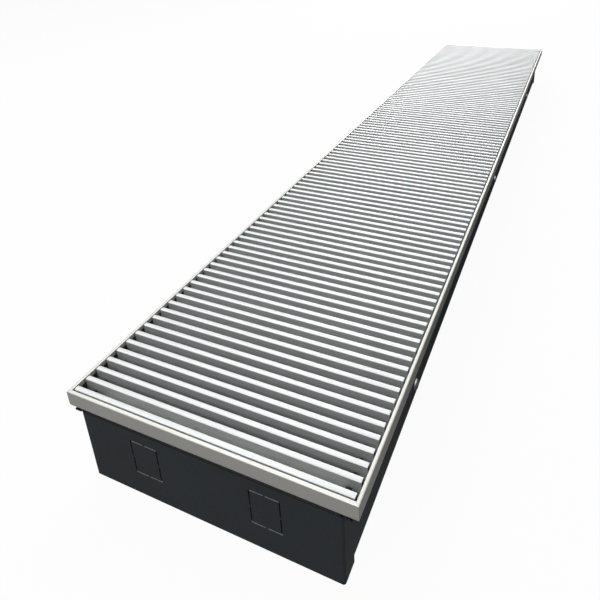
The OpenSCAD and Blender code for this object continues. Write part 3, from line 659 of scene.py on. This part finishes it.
# ---------------------------------------------------------------- the grille
bars_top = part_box("grille_bars")[1].z
cook("grille_slats", BARS, {
    "Count": BAR_COUNT, "Pitch": BAR_PITCH * MM, "First": FIRST_BAR * MM,
    "Length": BAR_LENGTH * MM, "Width": BAR_WIDTH * MM, "Height": BAR_HEIGHT * MM,
    "Crown radius": BAR_CROWN_RADIUS * MM, "Wall": BAR_WALL * MM, "Edge": BAR_EDGE * MM,
    "Top": bars_top, "Side play": BAR_SIDE_PLAY * MM, "Seed": 5},
    "grille", "bar_aluminium", ["grille_bars"])

sleeve_outline = [(1.4, 0), (2.6, 0), (3.0, 0.4), (3.0, SLEEVE_LENGTH - 0.4),
                  (2.6, SLEEVE_LENGTH), (1.4, SLEEVE_LENGTH)]
first_sleeve = FIRST_BAR + BAR_PITCH / 2 - SLEEVE_LENGTH / 2
cook("spacer_sleeves", ROWS, {
    "Count": BAR_COUNT - 1, "Step": BAR_PITCH * MM,
    "Start": at(first_sleeve, CABLE_Y, CABLE_HEIGHT), **ALONG},
    "grille", "spacer_plastic", ["grille_spacers"],
    turned("spacer sleeve shape", sleeve_outline, 10))

# ---------------------------------------------------------------- the coil
fins_low, fins_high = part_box("fins")
cook("corrugated_fins", FINS, {
    "Count": FIN_COUNT, "Pitch": FIN_PITCH * MM, "First": (FIN_FROM - FIN_WAVE_DEPTH / 2) * MM,
    "Width": fins_high.y - fins_low.y, "Height": fins_high.z - fins_low.z,
    "Middle": (fins_high.z + fins_low.z) / 2, "Sheet": FIN_SHEET * MM, "Waves": FIN_WAVES,
    "Wave depth": FIN_WAVE_DEPTH * MM}, "casing", "fin_aluminium", ["fins"])

# brass unions: chamfered hexagon, neck and cup outside, a G 1/2 thread inside the mouth
union_outline = [
    (10.6, 0), (12.1, 0), (12.5, 0.4), (12.5, 4.0), (13.5, 4.0, -1), (13.5, 16.0, 1),
    (12.9, 16.0), (10.9, 16.0), (10.5, 16.4), (10.5, 35.0), (9.5, 36.0), (9.5, 43.5),
    (9.0, 44.0), (7.55, 44.0), (7.55, 36.0), (6.5, 36.0), (6.5, 14.0), (9.3, 14.0)]
half_thread_pitch = 0.907
union_outline += [(10.4 if i % 2 else 9.3, 13.0 - i * half_thread_pitch) for i in range(14)]
cook("pipe_unions", ROWS, {
    "Count": 1, "Step": 0.0, "Start": at(UNION_MOUTH, OUTER_TUBE_Y, PIPE_HEIGHT), **ALONG,
    "Loose turn": 0.4, "Seed": 6}, "casing", "brass", ["flow_union", "return_union"],
    turned("union shape", union_outline, 36))

# fillets of braze where the tubes enter the unions and the return bends' cups
braze_outline = [(7.45, 0), (8.7, 0), (8.4, 0.35), (7.9, 0.7), (7.6, 1.3), (7.45, 1.6)]
for end, x, way in (("near", NEAR_CUPS_END, ALONG), ("far", FAR_CUPS_END, BACK_ALONG)):
    for row, y in (("outer", OUTER_TUBE_Y), ("inner", INNER_TUBE_Y)):
        cook(f"braze_fillets_{end}_{row}", ROWS, {
            "Count": 1, "Step": 0.0, "Start": at(x, y, PIPE_HEIGHT), **way},
            "casing", "copper", (), turned("braze fillet shape", braze_outline, 24), BRAZE)

# ---------------------------------------------------------------- fasteners
# flanged hexagon bolt: shank with its thread's crests, a flange whose bevel catches the light
# from above, and a low chamfered head 3 mm proud, because the photo's stay inside the wall's
# outline
bolt_outline = [(0, -13.0), (2.2, -13.0), (2.7, -12.4)]
bolt_outline += [(3.0 if i % 2 else 2.5, -12.0 + i * 0.5) for i in range(24)]
bolt_outline += [
    (3.0, 0), (6.9, 0), (6.9, 0.2), (5.8, 1.3), (5.0, 1.3, 0), (5.0, 3.0, 1), (4.7, 3.0),
    (3.6, 2.8), (0, 2.8)]
cook("wall_bolt_set", ROWS, {
    "Count": 3, "Step": BRACKET_X * MM, "Start": at(-BRACKET_X, WALL_Y, WALL_BOLT_HEIGHT),
    **OUTWARDS, "Loose turn": 0.5, "Seed": 4}, "casing", "bright_zinc", ["wall_bolts"],
    turned("flanged bolt shape", bolt_outline, 24))

nut_outline = [(3.05, 0.5), (3.6, 0), (4.7, 0), (5.0, 0, -1), (5.0, 5.0, 1), (4.7, 5.0),
               (3.6, 5.0), (3.05, 4.5)]
cook("wall_nut_set", ROWS, {
    "Count": 3, "Step": BRACKET_X * MM, "Start": at(-BRACKET_X, NUT_INNER_Y, WALL_BOLT_HEIGHT),
    **OUTWARDS, "Loose turn": 0.5, "Seed": 8}, "casing", "bright_zinc", ["wall_nuts"],
    turned("nut shape", nut_outline, 24))

flange_nut_outline = [
    (4.05, 0.6), (4.7, 0), (9.2, 0), (9.5, 0.3), (9.5, 0.8), (7.6, 1.5), (6.5, 1.5, 0),
    (6.5, 7.0, 1), (6.1, 7.0), (4.7, 7.0), (4.05, 6.4)]
cook("levelling_nut_set", ROWS, {
    "Count": 2, "Step": 2 * BRACKET_X * MM, "Start": at(-BRACKET_X, LEVEL_Y, LEVEL_NUT_SEAT),
    "Loose turn": 0.5, "Seed": 2}, "casing", "bright_zinc", ["levelling_nuts"],
    turned("flange nut shape", flange_nut_outline, 24))

stud_low, stud_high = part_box("levelling_screw_near_left")
for end, x in (("near", -BRACKET_X), ("far", BRACKET_X)):
    for side, y in (("left", LEVEL_Y), ("right", -LEVEL_Y)):
        cook(f"levelling_stud_{end}_{side}", STUD, {
            "Length": stud_high.z - stud_low.z, "Major radius": STUD_RADIUS * MM,
            "Thread depth": STUD_THREAD_DEPTH * MM, "Pitch": STUD_THREAD_PITCH * MM,
            "Slot width": STUD_SLOT_WIDTH * MM, "Slot depth": STUD_SLOT_DEPTH * MM,
            "Foot": (x * MM, y * MM, stud_low.z)}, f"level_{end}_{side}", "bright_zinc",
            [f"levelling_screw_{end}_{side}"])

# ---------------------------------------------------------------- floor, light and camera
floor_mesh = bpy.data.meshes.new("floor")
floor_mesh.from_pydata(
    [(x * FLOOR_HALF, y * FLOOR_HALF, 0) for x, y in ((-1, -1), (1, -1), (1, 1), (-1, 1))],
    [], [(0, 1, 2, 3)])
floor = bpy.data.objects.new("floor", floor_mesh)
bpy.context.scene.collection.objects.link(floor)
floor.location.z = -FLOOR_DROP
paper = bpy.data.materials.new("pale studio floor")
paper.use_nodes = True
tree = paper.node_tree
tree.nodes.clear()
ray = add(tree, "ShaderNodeLightPath").outputs
seen = maths(tree, "MAXIMUM", ray["Is Camera Ray"], ray["Is Transmission Ray"])
where = axes_of(tree, add(tree, "ShaderNodeTexCoord").outputs["Object"])
# metal sees the floor as a grey sheet that is paler at the near end
grey = span(tree, where["X"], **FLOOR_MIRRORED)
mirrored = maths(tree, "MULTIPLY", ray["Is Glossy Ray"], grey)
# under the trough the floor's glow is taken away, a painted shadow, so the holes in the base
# don't shine
unshadowed_floor = maths(tree, "SUBTRACT", 1.0, within(tree, where, FLOOR_PAINTED_SHADOW))
white = maths(tree, "MULTIPLY", maths(tree, "MULTIPLY", seen, unshadowed_floor), FLOOR_SHOWN)
shade = add(tree, "ShaderNodeBsdfDiffuse", {"Color": (FLOOR_TONE,) * 3 + (1,)})
glow = add(tree, "ShaderNodeEmission", {
    "Color": (1, 1, 1, 1), "Strength": maths(tree, "MAXIMUM", white, mirrored)})
both = add(tree, "ShaderNodeAddShader", {0: glow.outputs["Emission"], 1: shade.outputs["BSDF"]})
add(tree, "ShaderNodeOutputMaterial", {"Surface": both.outputs["Shader"]})
floor_mesh.materials.append(paper)

world = bpy.data.worlds.new("soft studio")
bpy.context.scene.world = world
world.use_nodes = True
tree = world.node_tree
tree.nodes.clear()
ray = add(tree, "ShaderNodeLightPath").outputs
# metal sees white above and a grey wall low down
way = axes_of(tree, add(tree, "ShaderNodeTexCoord").outputs["Generated"])
mirrored = maths(tree, "MULTIPLY", ray["Is Glossy Ray"], span(tree, way["Z"], **WORLD_MIRRORED))
level = maths(tree, "MAXIMUM", ray["Is Camera Ray"], mirrored)
level = maths(tree, "MAXIMUM", level, ray["Is Transmission Ray"])
level = maths(tree, "MAXIMUM", level, WORLD_FILL)
sky = add(tree, "ShaderNodeBackground", {"Color": (1, 1, 1, 1), "Strength": level})
add(tree, "ShaderNodeOutputWorld", {"Surface": sky.outputs["Background"]})

for name, place, target, width, depth, watts in LAMPS:
    lamp = bpy.data.lights.new(name, "AREA")
    lamp.shape = "RECTANGLE"
    lamp.size, lamp.size_y = width, depth
    lamp.energy = watts
    holder = bpy.data.objects.new(name, lamp)
    bpy.context.scene.collection.objects.link(holder)
    holder.location = place
    holder.rotation_mode = "QUATERNION"
    holder.rotation_quaternion = (Vector(target) - Vector(place)).to_track_quat("-Z", "Y")

lens = bpy.data.cameras.new("camera")
lens.sensor_width = SENSOR_WIDTH
lens.lens = FOCAL_LENGTH
lens.shift_x, lens.shift_y = LENS_SHIFT
lens.clip_start, lens.clip_end = 0.01, 60
camera = bpy.data.objects.new("camera", lens)
bpy.context.scene.collection.objects.link(camera)
bpy.context.scene.camera = camera
camera.location = EYE
camera.rotation_mode = "QUATERNION"
aim = Vector(GAZE).to_track_quat("-Z", "Y")
camera.rotation_quaternion = aim @ Quaternion((0, 0, 1), ROLL)
bpy.context.scene.view_settings.view_transform = "Standard"
